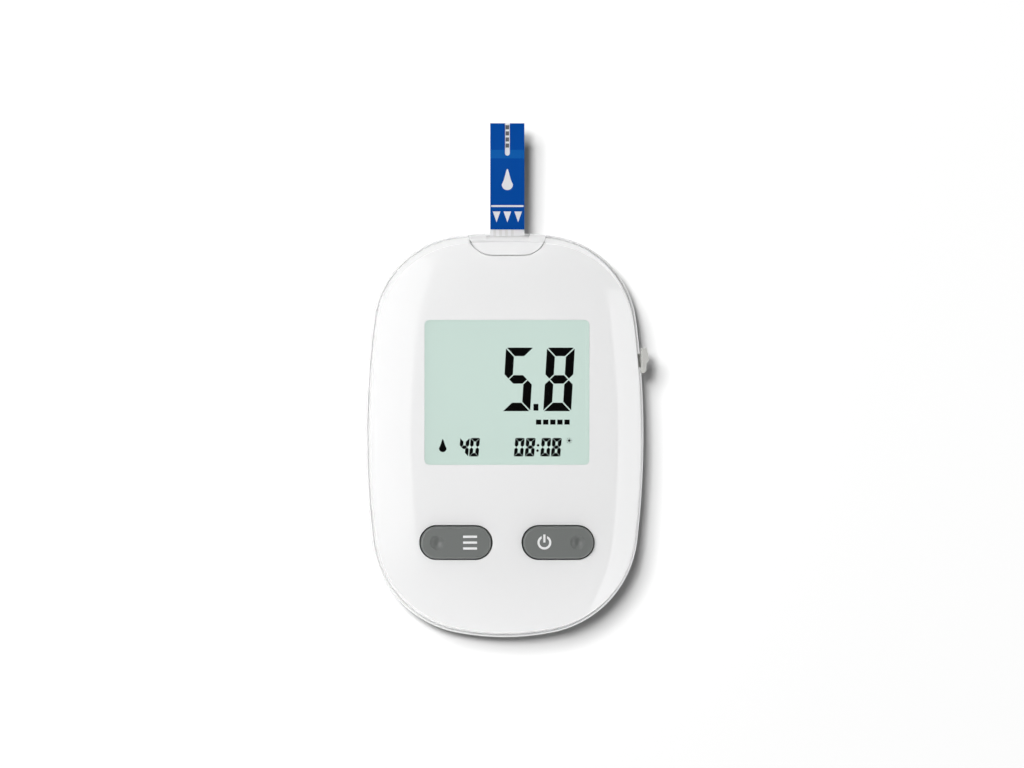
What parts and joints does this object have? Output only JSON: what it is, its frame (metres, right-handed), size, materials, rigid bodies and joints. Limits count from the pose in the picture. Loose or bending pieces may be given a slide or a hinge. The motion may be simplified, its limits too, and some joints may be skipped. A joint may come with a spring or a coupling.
{
  "type": "blood glucose meter",
  "caption": "Hand-held blood glucose meter with a display, push buttons, a side strip ejector, a battery door on its back and a test strip in its port.",
  "frame": {"origin": "middle of the case's length and width on its flat back", "axes": "+X to the right of the display, +Y towards the strip port, +Z out of the display, away from the flat back"},
  "size_m": [0.0628, 0.1143, 0.0216],
  "materials": {
    "case_white": "gloss",
    "rear_white": "gloss",
    "window_clear": "polished",
    "lcd_glass": "satin",
    "frame_white": "matte",
    "elastomer": "matte",
    "board_green": "satin",
    "chip_black": "satin",
    "steel": "satin",
    "connector_ivory": "matte",
    "contact_gold": "polished",
    "cell_wrap": "gloss",
    "label_grey": "satin",
    "button_grey": "satin",
    "icon_white": "satin",
    "slider_grey": "satin",
    "strip_white": "satin",
    "strip_blue": "satin",
    "electrode_grey": "matte"
  },
  "bodies": {
    "housing": {"front_cover": "case_white", "rear_cover": "rear_white", "port_cover": "case_white", "window_lens": "window_clear", "lcd_panel": "lcd_glass", "lcd_frame": "frame_white", "zebra_connectors": "elastomer", "main_board": "board_green", "processor": "chip_black", "measuring_chip": "chip_black", "crystal": "steel", "buzzer": "chip_black", "strip_connector": "connector_ivory", "strip_contacts": "contact_gold", "switch_bases": "chip_black", "battery_port": "cell_wrap", "battery_foot": "cell_wrap", "battery_springs": "steel", "battery_plates": "steel", "case_screws": "steel", "board_screws": "steel", "rating_label": "label_grey", "ejector_spring": "steel"},
    "left_button": {"button_left": "button_grey", "icon_left": "icon_white", "plunger_left": "chip_black"},
    "right_button": {"button_right": "button_grey", "icon_right": "icon_white", "plunger_right": "chip_black"},
    "ejector": {"ejector_slider": "slider_grey"},
    "test_strip": {"strip_base": "strip_white", "strip_film": "strip_blue", "strip_electrodes": "electrode_grey"},
    "battery_door": {"battery_door": "rear_white"}
  },
  "joints": [
    {"name": "left_button_press", "type": "slide", "parent": "housing", "child": "left_button", "axis": [0, 0, -1], "range_m": [0, 0.0006], "stiffness_N_per_m": 800, "springref_m": -0.0005},
    {"name": "right_button_press", "type": "slide", "parent": "housing", "child": "right_button", "axis": [0, 0, -1], "range_m": [0, 0.0006], "stiffness_N_per_m": 800, "springref_m": -0.0005},
    {"name": "ejector_slide", "type": "slide", "parent": "housing", "child": "ejector", "axis": [0, 1, 0], "range_m": [0, 0.005], "stiffness_N_per_m": 150, "springref_m": -0.002, "deforming": ["ejector_spring"]},
    {"name": "strip_slide", "type": "slide", "parent": "housing", "child": "test_strip", "axis": [0, 1, 0], "range_m": [0, 0.005]},
    {"name": "battery_door_hinge", "type": "hinge", "parent": "housing", "child": "battery_door", "pos_m": [0, -0.0031, 0.0009], "axis": [1, 0, 0], "range_deg": [0, 95]}
  ],
  "couplings": [
    {"joint": "strip_slide", "follows": "ejector_slide", "ratio": 1}
  ]
}
